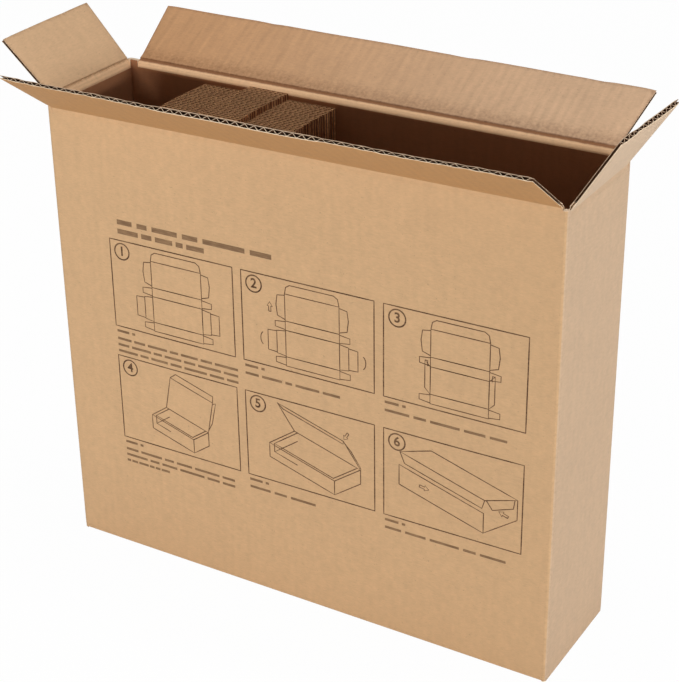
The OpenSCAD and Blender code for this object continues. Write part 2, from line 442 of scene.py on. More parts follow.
def slab(low, high, foot=0.0):
    """A plate of board along X; foot rounds its lower edge on the outer long side."""
    (x0, y0, z0), (x1, y1, z1) = low, high
    side = 1 if y1 > -y0 else -1
    near, far = (y0, y1) if side > 0 else (y1, y0)
    loop = [(near, z1), (near, z0)]
    if foot:
        loop += [(far - side * foot * (1 - math.sin(t)), z0 + foot * (1 - math.cos(t)))
                 for t in np.radians(np.linspace(0, 90, 7))]
    else:
        loop += [(far, z0)]
    loop += [(far, z1)]
    return loft([[(x, y, z) for y, z in loop] for x in np.linspace(x0, x1, 24)])


plan = wall_plan()
ring_points, ring_faces = loft([wall_section(*step) for step in plan], ring=True)
ring_size = len(ring_points) // len(plan)
top_face = ring_size // 2
ring_finish, ring_corner_shade = [], []
for step in plan:
    outside = 3 if abs(step[2][0]) > 0.7 else 0
    ring_finish += [outside] * top_face + [2] + [1] * (ring_size - top_face - 1)
    # The rounded corners take a little painted shade (below zero) that dulls the lamps' highlight on
    # them.
    edge = 1.0 if abs(step[3]) >= step[4] - 1e-9 else 0.0
    ring_corner_shade += [-0.3 * edge] * ring_size
floor_l = half_l - CORNER_R
bottom = [
    slab((-floor_l, -half_w, 0), (floor_l, SEAM_OFF - SEAM_GAP / 2, board_t), CORNER_R),
    slab((-floor_l, SEAM_OFF + SEAM_GAP / 2, 0), (floor_l, half_w, board_t), CORNER_R)]
inner_l, inner_w = half_l - board_t, half_w - board_t
for side in (-1, 1):
    near, far = sorted((side * inner_l, side * (inner_l - SHORT_FLAP_LEN)))
    bottom.append(slab((near, -inner_w + 1 * MM, board_t), (far, inner_w - 1 * MM, 2 * board_t)))
tab = slab((-inner_l, -inner_w, board_t * 2 + TAB_END),
           (-inner_l + TAB_W, -inner_w + TAB_T, slot_h - TAB_END))
walls = make_piece("carton_walls", [(ring_points, ring_faces, ring_finish, ring_corner_shade)]
                   + [(points, faces, finish, 0.0) for (points, faces), finish in
                      zip(bottom + [tab], (0, 0, 1, 1, 1))],
                   [carton_long, inside_paper_shaded, cut_edge, carton_end_sheen])
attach(walls, "carton")
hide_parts("carton_body")
print("walls:", len(walls.data.polygons), "faces")

# %% [markdown]
# ## Folds
#
# A flap turns about a crease pressed into the board, so the outside bends softly and
# the inside shows a rounded band under a pressed line. The imported solids only meet at
# that line. Each fold here is a strip that follows the bend from the wall to the flap.

# %% Sides, leans and the bend
BEND, FOLD_END = 3.0 * MM, 8 * MM
FLAP_LEN = 62 * MM
# In each side, score sets how dark the painted shade in the fold's score line is.
SIDES = {
    "front": {"out": (0, -1), "lean": 57, "twist": -1.2, "sag": 1.0, "score": 0.5,
              "droop": (6 * MM, 2.5 * MM), "flare": (4 * MM, 0)},
    "back": {"out": (0, 1), "lean": 61, "twist": 1.4, "sag": 0, "score": 1.0,
             "droop": (0, 0), "flare": (SLANT, SLANT)},
    "left": {"out": (-1, 0), "lean": 43, "twist": -2.8, "sag": 0, "score": 0.5,
             "droop": (-3.2 * MM, -3.2 * MM), "flare": (0, 0)},
    "right": {"out": (1, 0), "lean": 34, "twist": 1.0, "sag": 0, "score": 0.5,
              "droop": (2 * MM, 2 * MM), "flare": (0, 0)},
}
for name, side in SIDES.items():
    side["half"] = fold_half[side["out"]]
    side["hinge"] = np.array(hinges[f"{name}_flap"]["pos_m"])
    side["along"] = np.array([abs(side["out"][1]), abs(side["out"][0]), 0.0])
    side["out"] = np.array([*side["out"], 0.0])
UP = np.array([0.0, 0.0, 1.0])
FLAP_PAPERS = {"front": [front_flap_paper_shaded, carton_long], "back": [carton_long, back_flap_paper],
               "left": [end_flap_paper_sheen, short_flap_paper], "right": [end_flap_paper_sheen, short_flap_paper]}


def lean_at(side, place):
    """The flap's lean at a place along the fold: board is never quite flat."""
    share = place / side["half"]
    return math.radians(side["lean"] + side["twist"] * share + side["sag"] * (1 - share ** 2))


def hinge_at(side, place, rise=0.0):
    """A point of the fold line, or of the line above it that a flap's rise from 0 to 1 gives.

    The fold droops a little below the hinge, and a flap flares towards its free edge."""
    share = (1 + place / side["half"]) / 2
    drop = (side["droop"][0] * (1 - share) + side["droop"][1] * share) * (1 - rise)
    flare = side["flare"][int(place > 0)] * rise * place / side["half"]
    return side["hinge"] + (place + flare) * side["along"] - drop * UP


def side_crush(side, place):
    """How far the cut at the side of a flap is crushed, 1 at the cut itself."""
    return hump(side["half"] - abs(place), 0, 4 * MM)


def fold_line(lean, foot, steps=13):
    """(out, up, angle, distance) along the middle of the board, from wall to flap."""
    share = np.linspace(0, 1, steps)
    turn = lean * share * share * (3 - 2 * share)
    run_out = np.concatenate([[0], np.cumsum((np.sin(turn)[1:] + np.sin(turn)[:-1]) / 2)])
    run_up = np.concatenate([[0], np.cumsum((np.cos(turn)[1:] + np.cos(turn)[:-1]) / 2)])
    size = BEND * math.sin(lean) / run_out[-1]
    wall, flap = np.linspace(-foot, -BEND, 9)[:-1], np.linspace(BEND, FOLD_END, 9)[1:]
    out = np.concatenate([0 * wall, run_out * size, flap * math.sin(lean)])
    up = np.concatenate([wall, run_up * size - BEND, flap * math.cos(lean)])
    angle = np.concatenate([0 * wall, turn, 0 * flap + lean])
    return out, up, angle, np.concatenate([wall, (2 * share - 1) * BEND, flap])


def step_up(value, low, high):
    """0 below low, 1 above high, smooth between."""
    share = np.clip((value - low) / (high - low), 0, 1)
    return share * share * (3 - 2 * share)


# %% Fold strips
PRESSED_IN, PRESSED_OUT, CRUSH = 1.3 * MM, 0.75 * MM, 0.4
LINER_T, OPEN_END = 0.5 * MM, 4 * MM
# Painted shade on a flap's inner paper beside the score: its strength, and the reach from the fold over
# which it fades.
SCORE_FADE, SCORE_REACH = 0.45, 22 * MM
# Where the inner band painted with a highlight starts and ends, in mm from the fold; below it the inside
# paper's painted shade begins
BAND_LOW, BAND_HIGH = -4.2, 3.2


def fold_section(side, place, thinner=0.0):
    """The strip's cut face: outer side from wall to flap, then the inner side back."""
    middle = hinge_at(side, place)
    out, up, angle, far = fold_line(lean_at(side, place), middle[2] - slot_h)
    far = far / MM
    pressed = step_up(far, -4.5, 2.6) * (1 - step_up(far, 2.6, 3.6))
    inner = board_t / 2 - PRESSED_IN * pressed
    outer = board_t / 2 - PRESSED_OUT * step_up(-np.abs(far), -6.0, 0.0)
    crushed = 1 - CRUSH * side_crush(side, place) * step_up(far, 0, 6)
    loop = []
    for depth, sign in ((outer, 1), (inner, -1)):
        depth = np.maximum(depth * crushed - thinner, 0.1 * MM)
        loop.append(np.stack([out + sign * depth * np.cos(angle),
                              up - sign * depth * np.sin(angle)], axis=1))
    loop = np.vstack([loop[0], loop[1][::-1]])
    return [middle + o * side["out"] + u * UP for o, u in loop]


def strip_places(side):
    """How far the points round the strip lie from the fold in mm, the wall's side below zero."""
    return fold_line(lean_at(side, 0), side["hinge"][2] - slot_h)[3] / MM


def fold_wear(side, count):
    """Painted highlight on the inner band, painted shade in the pressed score line above it and beyond
    it on the flap, and a faint pale line on the outer bend, partly rubbed paper and partly painted
    highlight.
    """
    far = strip_places(side)
    score = np.maximum(hump(far, 2.2, 1.8), SCORE_FADE * step_up(far, 2.2, 4.0))
    band = hump(far, -2.3, 1.3) - side["score"] * score
    return np.tile(np.concatenate([0.1 * hump(far, -2.5, 1.2), band[::-1]]), count)


def fold_finish(side):
    """The finish of each face round the strip: wall, flap, inside with painted shade, band with painted
    highlight, flap inside.
    """
    far = strip_places(side)
    middle = (far[1:] + far[:-1]) / 2
    outer = np.where(middle < 0, 0, 1)
    inner = np.select([middle < BAND_LOW, middle < BAND_HIGH], [2, 3], 4)
    return [*outer, 1, *inner[::-1], 0]


for name, side in SIDES.items():
    half, places = side["half"], stations(side["half"])
    sections = [fold_section(side, place) for place in places]
    ends = [[fold_section(side, sign * (half - deep), LINER_T) for deep in (OPEN_END, 0)]
            for sign in (-1, 1)]
    points, faces = loft(ends[0] + sections + ends[1][::-1])
    size = len(sections[0])
    numbers = np.resize(fold_finish(side), len(faces))
    numbers[:2 * size], numbers[-2 * size - 2:] = 5, 5
    long_side = name in ("front", "back")
    flap_outside, flap_inside = FLAP_PAPERS[name]
    fold = make_piece(f"{name}_fold", [(points, faces, numbers, fold_wear(side, len(places) + 4))],
                      [carton_long if long_side else carton_end_sheen, flap_outside, inside_paper_shaded,
                       fold_band_highlight_long if long_side else fold_band_highlight_short, flap_inside, cut_edge])
    lean = math.radians(side["lean"])
    start = side["hinge"] - BEND * UP
    end = side["hinge"] + BEND * (math.sin(lean) * side["out"] + math.cos(lean) * UP)
    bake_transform(fold)
    print(fold.name, len(fold.data.polygons), "faces")

# %% [markdown]
# ## Fluted flaps
#
# The cut edge of a flap shows what corrugated board is: two papers with a waved one
# glued between them. A noise texture can't give those open triangles, so the wave is a
# grid that Geometry Nodes push up and down along a sine, and the two papers are thin
# lofts. Crushed spots and a slight waviness of the edge keep it from looking machined.


# %% Geometry Nodes: a fluted sheet
def tree_with(name, **inputs):
    """A new Geometry Nodes tree, and a wire for each input; inputs are named by their kind."""
    tree = bpy.data.node_groups.new(name, "GeometryNodeTree")
    labels = [(label, kind) for kind, names in inputs.items() for label in names.split()]
    for label, kind in labels:
        tree.interface.new_socket(label, in_out="INPUT", socket_type="NodeSocket" + kind)
    tree.interface.new_socket("Geometry", in_out="OUTPUT", socket_type="NodeSocketGeometry")
    source = tree.nodes.new("NodeGroupInput")
    return tree, {label: Wire(source.outputs[label]) for label, kind in labels}


def close_tree(tree, geometry, finish):
    """Ends a tree in Set Material and Realize Instances."""
    painted = node(tree, "GeometryNodeSetMaterial", {}, {"Geometry": geometry, "Material": finish})
    real = node(tree, "GeometryNodeRealizeInstances", {}, {"Geometry": painted})
    tree.links.new(real.socket, tree.nodes.new("NodeGroupOutput").inputs["Geometry"])


def fluted_sheet_tree():
    tree, given = tree_with("Fluted sheet", Float="Length Height Pitch Rise Paper Start",
                            Int="Columns Rows", Material="Finish")
    sheet = node(tree, "GeometryNodeMeshGrid", {}, {
        "Size X": given["Length"], "Size Y": given["Height"],
        "Vertices X": given["Columns"], "Vertices Y": given["Rows"]})
    spot = node(tree, "GeometryNodeInputPosition")
    turn = (axis(spot, "X") + given["Start"]) * (2 * math.pi) / given["Pitch"]
    wave = node(tree, "ShaderNodeMath", {"operation": "SINE"}, {0: turn})
    lift = node(tree, "ShaderNodeCombineXYZ", {}, {"Z": wave * given["Rise"] * 0.5})
    waved = node(tree, "GeometryNodeSetPosition", {}, {"Geometry": sheet, "Offset": lift})
    upper = node(tree, "GeometryNodeExtrudeMesh", {}, {
        "Mesh": waved, "Offset Scale": given["Paper"], "Individual": False})
    lower = node(tree, "GeometryNodeFlipFaces", {}, {"Mesh": waved})
    both = node(tree, "GeometryNodeJoinGeometry")
    for half in (upper, lower):
        tree.links.new(half.socket, both.socket.node.inputs[0])
    closed = node(tree, "GeometryNodeMergeByDistance", {},
                  {"Geometry": both, "Distance": 0.001 * MM})
    close_tree(tree, closed, given["Finish"])
    return tree


def baked(holder):
    """The plain mesh that an object turns into; the object is then no longer needed."""
    bpy.context.scene.collection.objects.link(holder)
    ready = holder.evaluated_get(bpy.context.evaluated_depsgraph_get())
    mesh = bpy.data.meshes.new_from_object(ready)
    bpy.data.objects.remove(holder)
    return mesh


def grow(tree, values, seed_mesh=None):
    """Runs a tree once and gives its result as a plain mesh."""
    holder = bpy.data.objects.new("holder", seed_mesh or bpy.data.meshes.new("holder"))
    modifier = holder.modifiers.new("grow", "NODES")
    modifier.node_group = tree
    for item in tree.interface.items_tree:
        if item.in_out == "INPUT" and item.name in values:
            modifier[item.identifier] = values[item.name]
    return baked(holder)


fluted_sheet = fluted_sheet_tree()
print("fluted sheet tree:", len(fluted_sheet.nodes), "nodes")

# %% Flap shape
MEDIUM_T, EDGE_BACK, SIDE_BACK = 0.35 * MM, 0.25 * MM, 0.8 * MM
CRUSH_W, EDGE_WAVE = 7 * MM, 0.2 * MM
CRUSHED = {"front": (*np.linspace(-0.212, -0.085, 8), *np.linspace(0.065, 0.205, 9)),
           "back": (-0.11, 0.06, 0.17), "left": (0.02,), "right": (-0.018,)}


def flap_points(name, flat):
    """Places flat points (along, from fold, depth) on a leaning flap, with its warp."""
    side, placed = SIDES[name], []
    for along, reach, depth in flat:
        rise = max(0.0, (reach - FOLD_END) / (FLAP_LEN - FOLD_END))
        crush = sum(hump(along, spot, CRUSH_W) for spot in CRUSHED[name]) * rise ** 6
        crush = max(crush, side_crush(side, along))
        wave = EDGE_WAVE * rise ** 2 * math.sin(along * 61 + 1.3 * len(name))
        depth = depth * (1 - CRUSH * crush) + wave
        lean = lean_at(side, along)
        placed.append(hinge_at(side, along, rise)
                      + (reach * math.sin(lean) + depth * math.cos(lean)) * side["out"]
                      + (reach * math.cos(lean) - depth * math.sin(lean)) * UP)
    return np.array(placed)


def liner(half, low, high, finish):
    """One flat paper of a flap, from fold to cut edge; its flute side and cuts differ."""
    reaches = np.linspace(FOLD_END, FLAP_LEN, 10)
    loop = [(reach, high) for reach in reaches] + [(reach, low) for reach in reaches[::-1]]
    middle = half - 9 * MM
    places = sorted({-half, 4 * MM - half, half - 4 * MM, half,
                     *np.linspace(-middle, middle, max(12, round(half / (4 * MM))))})
    flat, faces = loft([[(place, reach, depth) for reach, depth in loop] for place in places])
    upper, lower = (finish, 3) if high > 0 else (3, finish)
    run = [upper] * (len(reaches) - 1) + [2] + [lower] * len(reaches)
    return flat, faces, run * (len(places) - 1) + [2, 2]


def wave_finish(flat, faces, inside, cut):
    """The finish of each face of a fluted sheet, whose cut ends lie along Y."""
    end = np.abs(flat[:, 1]).max() - 0.01 * MM
    return [cut if all(abs(flat[i, 1]) > end for i in face) else inside for face in faces]


def liner_wear(flat, score):
    """Outer paper is rubbed pale along its edges; inner paper is darker along its edges and takes
    painted shade near the score, fading away from the fold.
    """
    half = np.abs(flat[:, 0]).max()
    free = hump(flat[:, 1], FLAP_LEN, 2.0 * MM)
    sides = hump(np.abs(flat[:, 0]), half, 1.5 * MM)
    edges = np.clip(free + sides, 0, 1)
    if score is None:
        return 0.7 * edges
    fade = SCORE_FADE * np.clip(1 - (flat[:, 1] - FOLD_END) / SCORE_REACH, 0, 1)
    return -np.maximum(0.5 * edges, score * fade)


# %% Four flaps
for name, side in SIDES.items():
    half = side["half"]
    parts = []
    for paper, low in ((0, board_t / 2 - LINER_T), (1, -board_t / 2)):
        flat, faces, finish = liner(half, low, low + LINER_T, paper)
        score = side["score"] if paper else None
        parts.append((flap_points(name, flat), faces, finish, liner_wear(flat, score)))
    length, height = 2 * (half - SIDE_BACK), FLAP_LEN - FOLD_END - EDGE_BACK
    wave = grow(fluted_sheet, {
        "Length": length, "Height": height, "Pitch": FLUTE_PITCH,
        "Rise": board_t - 2 * LINER_T - MEDIUM_T, "Paper": MEDIUM_T, "Start": 0.0,
        "Columns": round(8 * length / FLUTE_PITCH) + 1, "Rows": 6, "Finish": medium})
    flat, faces = mesh_part(wave)
    finish = wave_finish(flat, faces, 3, 2)
    flat = flat + (0, FOLD_END + height / 2, -MEDIUM_T / 2)
    parts.append((flap_points(name, flat), faces, finish, 0.0))
    flap = make_piece(f"{name}_flap_board", parts, FLAP_PAPERS[name] + [cut_edge, medium])
    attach(flap, f"{name}_flap")
    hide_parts(f"{name}_flap")
    print(flap.name, len(flap.data.polygons), "faces")

# %% [markdown]
# ## The stack of blanks
#
# Each blank is a mailer box before folding: two papers over a finer wave. Only edges
# show in the carton, so the stack lives from its open flutes. The outline is worked out
# from the panel sizes, cut as a flat plate with its lock slots, and the wave comes from
# the same tree as the flaps', one sheet for each panel. All thirty are the same cut, a
# little out of line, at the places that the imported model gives.

# %% Blank outline
WALL_H, TUCK_H, BLANK_EAR = 68 * MM, 42 * MM, 1.5 * MM
CORNER_TAB, DUST_FLAP, TAPER = 50 * MM, 56 * MM, 8 * MM
LOCK_W, LOCK_H, CUT, BLANK_R = 36 * MM, 5 * MM, 1.5 * MM, 12 * MM
first_low, first_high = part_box("blank_01")
blank_l, blank_t, blank_rise = first_high - first_low
panel_w = (blank_l - 2 * WALL_H - TUCK_H) / 2
roll_h = WALL_H - 1.5 * MM
half_len = blank_rise / 2 - LOCK_H - roll_h - WALL_H
bottom_u, back_u = WALL_H, WALL_H + panel_w
lid_u, tuck_u = back_u + WALL_H, back_u + WALL_H + panel_w
lock_mid = (bottom_u + back_u) / 2


def arc(centre_u, centre_v, radius, start, stop, steps=6):
    return [(centre_u + radius * math.cos(t), centre_v + radius * math.sin(t))
            for t in np.radians(np.linspace(start, stop, steps))]


def tab_outline(low, high):
    """A corner tab that narrows towards its end."""
    top = half_len + CORNER_TAB
    return [(low, half_len), (low, top - TAPER), (low + TAPER, top),
            (high - TAPER, top), (high, top - TAPER), (high, half_len)]


def upper_edge():
    """The blank's upper edge from left to right; the lower edge is its mirror."""
    ear, top = half_len + WALL_H, half_len + WALL_H + roll_h
    dust = half_len + DUST_FLAP
    dust_low, dust_high = lid_u + CUT, tuck_u - CUT
    return ([(0, half_len)] + tab_outline(CUT, WALL_H - CUT)
            + [(bottom_u, half_len), (bottom_u, ear), (bottom_u + BLANK_EAR, ear),
               (bottom_u + BLANK_EAR, top),
               (lock_mid - LOCK_W / 2, top), (lock_mid - LOCK_W / 2, top + LOCK_H),
               (lock_mid + LOCK_W / 2, top + LOCK_H), (lock_mid + LOCK_W / 2, top),
               (back_u - BLANK_EAR, top), (back_u - BLANK_EAR, ear), (back_u, ear),
               (back_u, half_len)]
            + tab_outline(back_u + CUT, lid_u - CUT)
            + [(dust_low, half_len), (dust_low, dust - TAPER), (dust_low + TAPER, dust)]
            + arc(dust_high - BLANK_R, dust - BLANK_R, BLANK_R, 90, 0)
            + [(dust_high, half_len)]
            + arc(blank_l - BLANK_R, half_len - BLANK_R, BLANK_R, 90, 0))


edge = upper_edge()
outline = edge + [(u, -v) for u, v in edge[::-1]]
print("blank outline:", len(outline), "points,", round(blank_rise, 4), "m tall")


# %% One blank, flat
def plate(loops, low, high):
    """A thin plate cut to an outline with holes, between two depths.

    Cuts along the flutes show their flute walls in the dark medium finish, which paints shade into them;
    the other cuts are pale."""
    rims = [[Vector((u, v, 0)) for u, v in loop] for loop in loops]
    flat = [point for rim in rims for point in rim]
    caps = tessellate_polygon(rims)
    size = len(flat)
    points = [(p.x, depth, p.y) for depth in (low, high) for p in flat]
    faces = [tuple(cap) for cap in caps] + [tuple(size + i for i in cap[::-1]) for cap in caps]
    base, numbers = 0, [0] * len(faces)
    for rim in rims:
        count = len(rim)
        faces += [(base + i, base + (i + 1) % count,
                   size + base + (i + 1) % count, size + base + i) for i in range(count)]
        numbers += [1 if rim[i].x == rim[(i + 1) % count].x else 2 for i in range(count)]
        base += count
    return np.array(points), faces, numbers, 0.0


BLANK_LINER, BLANK_MEDIUM, BLANK_PITCH = 0.38 * MM, 0.28 * MM, 4.5 * MM
SLOT_H, CREASE_W = blank_t, 2 * MM
slot_loops = []
for sign in (-1, 1):
    v0, v1 = sorted((sign * (half_len - CREASE_W - SLOT_H), sign * (half_len - CREASE_W)))
    u0, u1 = lock_mid - LOCK_W / 2 - CUT, lock_mid + LOCK_W / 2 + CUT
    slot_loops.append([(u0, v0), (u1, v0), (u1, v1), (u0, v1)])
ear_top = half_len + WALL_H + roll_h
zones = [(CUT, WALL_H - CUT, half_len + CORNER_TAB - TAPER),
         (bottom_u + BLANK_EAR, lock_mid - LOCK_W / 2, ear_top),
         (lock_mid - LOCK_W / 2, lock_mid + LOCK_W / 2, ear_top + LOCK_H),
         (lock_mid + LOCK_W / 2, back_u - BLANK_EAR, ear_top),
         (back_u + CUT, lid_u - CUT, half_len + CORNER_TAB - TAPER),
         (lid_u + CUT, tuck_u - CUT, half_len + DUST_FLAP - BLANK_R),
         (tuck_u, blank_l - BLANK_R, half_len)]
blank_paper = kraft("blank_kraft", colour(138, 94, 62), "X", BLANK_PITCH, rib=0.25)
# The blanks' wave: darker, painted shade of their deep flutes; speckle adds painted glints.
blank_wave_shaded = kraft("blank_fluted_medium_painted_shade", colour(108, 66, 43), "X", rib=0.0, speckle=0.6)
# The blanks' cut edges: pale paper whose speckle paints glints and shade of the open flutes.
blank_edge = kraft("blank_cut_edge", colour(238, 162, 114), "X", rib=0.0, speckle=1.4)
blank_liners = [plate([outline] + slot_loops, 0, BLANK_LINER),
                plate([outline] + slot_loops, blank_t - BLANK_LINER, blank_t)]


def blank_waves(start):
    """The fluted sheet of each zone; start shifts its flutes, which no two blanks share."""
    waves = []
    for low, high, top in zones:
        flat, faces = mesh_part(grow(fluted_sheet, {
            "Length": high - low, "Height": 2 * (top - EDGE_BACK), "Pitch": BLANK_PITCH,
            "Rise": blank_t - 2 * BLANK_LINER - BLANK_MEDIUM, "Paper": BLANK_MEDIUM,
            "Start": (low + high) / 2 + start, "Columns": round(6 * (high - low) / BLANK_PITCH) + 1,
            "Rows": 2, "Finish": blank_wave_shaded}))
        finish = wave_finish(flat, faces, 1, 2)
        flat = np.stack([flat[:, 0] + (low + high) / 2,
                         blank_t / 2 - BLANK_MEDIUM / 2 + flat[:, 2], flat[:, 1]], axis=1)
        waves.append((flat, faces, finish, 0.0))
    return waves


print("one blank:", sum(len(part[1]) for part in blank_liners + blank_waves(0.0)), "faces")

# %% Thirty blanks
blank_names = sorted(name for name in frame["nodes"] if name.startswith("blank_"))
shifts = BLANK_PITCH * np.random.default_rng(7).random(len(blank_names))
for name, shift in zip(blank_names, shifts):
    low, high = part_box(name)
    place = np.array([low.x, low.y, (low.z + high.z) / 2])
    parts = blank_liners + blank_waves(shift)
    blank = make_piece("mailer_" + name,
                       [(flat + place, faces, finish, wear_and_shade) for flat, faces, finish, wear_and_shade in parts],
                       [blank_paper, blank_wave_shaded, blank_edge])
    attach(blank, "carton")
    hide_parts(name)
print("blanks:", len(blank_names))

# %% [markdown]
# ## The printed guide
#
# The front carries a folding guide in one brown ink: six numbered frames, each with a
# line drawing, and rows of plain bars. Drawn as an image it would blur up close, so
# every line is a path that Geometry Nodes give a width, laid a hair above the paper and
# bent to the wall's swell.


# %% Geometry Nodes: a printed line
def printed_line_tree():
    tree, given = tree_with("Printed line", Geometry="Geometry", Float="Width Film",
                            Material="Finish")
    path = node(tree, "GeometryNodeMeshToCurve", {}, {"Mesh": given["Geometry"]})
    level = node(tree, "GeometryNodeSetCurveNormal", {"mode": "Z_UP"}, {"Curve": path})
    pen = node(tree, "GeometryNodeCurvePrimitiveQuadrilateral", {"mode": "RECTANGLE"},
               {"Width": given["Width"], "Height": given["Film"]})
    line = node(tree, "GeometryNodeCurveToMesh", {},
                {"Curve": level, "Profile Curve": pen, "Fill Caps": True})
    close_tree(tree, line, given["Finish"])
    return tree


def path_mesh(paths):
    """Loose edges along each path of (across, up) points."""
    mesh, points, edges = bpy.data.meshes.new("paths"), [], []
    for path in paths:
        base = len(points)
        points += [(x, z, 0) for x, z in path]
        edges += [(base + i, base + i + 1) for i in range(len(path) - 1)]
    mesh.from_pydata(points, edges, [])
    return mesh


printed_line = printed_line_tree()
print("printed line tree:", len(printed_line.nodes), "nodes")

# %% Ink
INK = colour(74, 48, 36)


def ink_finish(name, ink, cover):
    """Ink on kraft: the paper's streaks show through where the film is thin."""
    finish, shader, place = new_finish(name)
    tree = finish.node_tree
    thin = ramp(0.6 * noise(place, 700, (0.2, 1, 1)) + 0.4 * noise(place, 60), 0.35, 0.75)
    tone = mix_colour(cover * (1 - 0.35 * thin), CARTON_PAPER, ink)
    tree.links.new(tone.socket, shader.inputs["Base Color"])
    tree.links.new((0.62 + 0.2 * thin).socket, shader.inputs["Roughness"])
    shader.inputs["Specular IOR Level"].default_value = 0.05
    return finish


line_ink = ink_finish("printed_line_ink", INK, cover=0.98)
word_ink = ink_finish("printed_word_ink", INK, cover=0.72)

# %% Frames and word bars
FRAME_W, FRAME_H, FRAME_PITCH = 117.2 * MM, 77.3 * MM, 125.2 * MM
FRAME_LEFT = -169.6 * MM
ROW_TOPS = (291.3 * MM, 186.7 * MM)
corners = [(FRAME_LEFT + column * FRAME_PITCH, top) for top in ROW_TOPS for column in range(3)]


def closed(points):
    return points + points[:1]


def box_path(x0, z0, x1, z1):
    """A closed path that starts mid-side, so that its four corners stay square."""
    return [((x0 + x1) / 2, z0), (x1, z0), (x1, z1), (x0, z1), (x0, z0), ((x0 + x1) / 2, z0)]


def word_row(x, z, length, words):
    """A row of bars with the given lengths, scaled to fill the row."""
    gap = 1.0
    unit = length / (sum(words) + gap * (len(words) - 1))
    bars, start = [], x
    for letters in words:
        bars.append([(start, z), (start + letters * unit, z)])
        start += (letters + gap) * unit
    return bars


frame_paths = [box_path(x, top - FRAME_H, x + FRAME_W, top) for x, top in corners]
HEADING_LEFT, CAPTION_IN, LINE_GAP = -161 * MM, 1 * MM, 5.6 * MM
heading = (word_row(HEADING_LEFT, 307.3 * MM, 145 * MM, [3, 2, 5, 3, 8, 4])
           + word_row(HEADING_LEFT, 299.3 * MM, 83 * MM, [6, 3, 5, 2, 5]))
# The number of rows below each frame, their length in mm, and the lengths of the bars
CAPTIONS = [(3, 118, [5, 4, 7, 3, 6, 4, 8]), (1, 86, [4, 6, 2, 7, 5]), (1, 102, [6, 3, 7, 5, 4]),
            (3, 110, [4, 7, 3, 5, 8, 4]), (1, 62, [5, 3, 6]), (1, 104, [4, 5, 7, 3, 6])]
caption_bars = []
for (x, top), (rows, length, words) in zip(corners, CAPTIONS):
    left, low = x + CAPTION_IN, top - FRAME_H
    caption_bars += word_row(left, low - 4.5 * MM, 18 * MM, [4, 1])
    for row in range(rows):
        part = 0.4 if rows == 3 and row == 2 and length < 118 else 1.0
        caption_bars += word_row(left, low - 11.5 * MM - row * LINE_GAP, length * part * MM,
                                 words[row:] + words[:row])
print("frames:", len(frame_paths), "word bars:", len(heading) + len(caption_bars))


# %% Line drawings
def shifted(paths, x, z, size=1.0):
    return [[(x + size * a * MM, z + size * b * MM) for a, b in path] for path in paths]


def flat_blank(raised):
    """A mailer laid flat: tuck, lid, back, bottom and front from top to bottom."""
    rows = ((4, 24), (-3, 4), (-23, -3), (-30, -23))
    paths = [box_path(-21, low, 21, high) for low, high in rows]
    paths.append([(-21, 24), (-20, 29), (-17, 31), (17, 31), (20, 29), (21, 24)])
    half = [[(21, 23), (27, 22), (28, 15), (27, 7), (21, 5)],
            [(21, 3.5), (29, 2.5), (29, -1.5), (21, -2.5)],
            [(21, -23.5), (29, -24.5), (29, -28.5), (21, -29.5)]]
    if raised < 2:
        half += [closed([(21, -3.5), (28, -4.5), (28, -21.5), (21, -22.5)]),
                 [(28, -5), (35, -5.5), (35, -20.5), (28, -21)]]
    else:
        half += [closed([(21, -3), (25, 1), (25, -19), (21, -23)]), [(25, 1), (23, 1), (23, -3)]]
    if raised == 1:
        half.append([(38 + 3 * math.cos(t), -13 + 5 * math.sin(t)) for t in np.linspace(-1.2, 1.2, 7)])
    return paths + [[(side * a, b) for a, b in path] for side in (-1, 1) for path in half]


def tray(lid_deg, wide, deep, high, lip_len=10):
    """A folded mailer seen from one corner, with its lid turned up by lid_deg."""
    right, back = (0.88, -0.27), (0.56, 0.40)

    def at(a, b, c):
        return (a * right[0] + b * back[0], a * right[1] + b * back[1] + c)

    turn = math.radians(lid_deg)
    reach, lift = deep - deep * math.cos(turn), high + deep * math.sin(turn)
    tuck = (reach + lip_len * math.sin(turn) * 0.6, lift - lip_len * math.cos(turn) * 0.8)
    front = [at(0, 0, 0), at(wide, 0, 0), at(wide, 0, high), at(0, 0, high)]
    side = [at(wide, 0, high), at(wide, 0, 0), at(wide, deep, 0), at(wide, deep, high)]
    lid = [at(0, deep, high), at(wide, deep, high), at(wide, reach, lift), at(0, reach, lift)]
    lip = [at(0, reach, lift), at(3, *tuck), at(wide - 3, *tuck), at(wide, reach, lift)]

    def along_lid(share, drop):
        return at(wide, deep + (reach - deep) * share + drop * math.sin(turn),
                  high + (lift - high) * share - drop * math.cos(turn))

    ear = [along_lid(0.08, 0), along_lid(0.16, 7), along_lid(0.8, 8), along_lid(0.95, 0)]
    paths = [closed(front), side, closed(lid), lip, ear]
    if lid_deg > 20:
        rim = 3
        paths += [[at(0, 0, high), at(0, deep, high)], [at(wide, 0, high), at(wide, deep, high)],
                  [at(rim, deep, high), at(rim, rim, high), at(wide - rim, rim, high),
                   at(wide - rim, deep, high)],
                  [at(rim, rim, high), at(rim, rim, high * 0.4)],
                  [at(rim, deep, high * 0.4), at(rim, rim, high * 0.4), at(wide * 0.4, rim, high * 0.4)]]
    span = [point for path in paths for point in path]
    middle = [(min(p[k] for p in span) + max(p[k] for p in span)) / 2 for k in (0, 1)]
    return [[(a - middle[0], b - middle[1]) for a, b in path] for path in paths]


